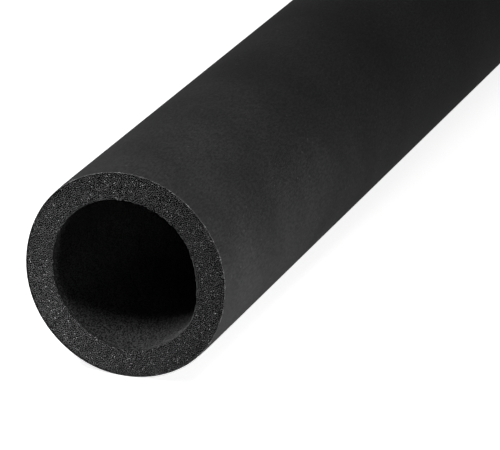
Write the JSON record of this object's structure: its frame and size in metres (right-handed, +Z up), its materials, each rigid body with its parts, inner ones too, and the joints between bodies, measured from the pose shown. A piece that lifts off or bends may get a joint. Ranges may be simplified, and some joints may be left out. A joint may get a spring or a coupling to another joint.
{
  "type": "pipe insulation lagging",
  "caption": "Straight round tube of black closed-cell elastomeric foam with an open bore and square-cut ends, which slides over a pipe to insulate it.",
  "frame": {"origin": "the point on the floor under the middle of the tube's length, where the tube rests", "axes": "+Y along the tube towards its far end, +Z up from the floor that the tube lies on; the tube's own axis runs along +Y at 33 mm above the floor"},
  "size_m": [0.066, 1, 0.066],
  "materials": {
    "elastomeric_foam": "matte black closed-cell foam with a thin smooth skin outside and in the bore, and open cut cells on both ends"
  },
  "bodies": {
    "root": {"lagging_tube": "elastomeric_foam"}
  },
  "joints": []
}
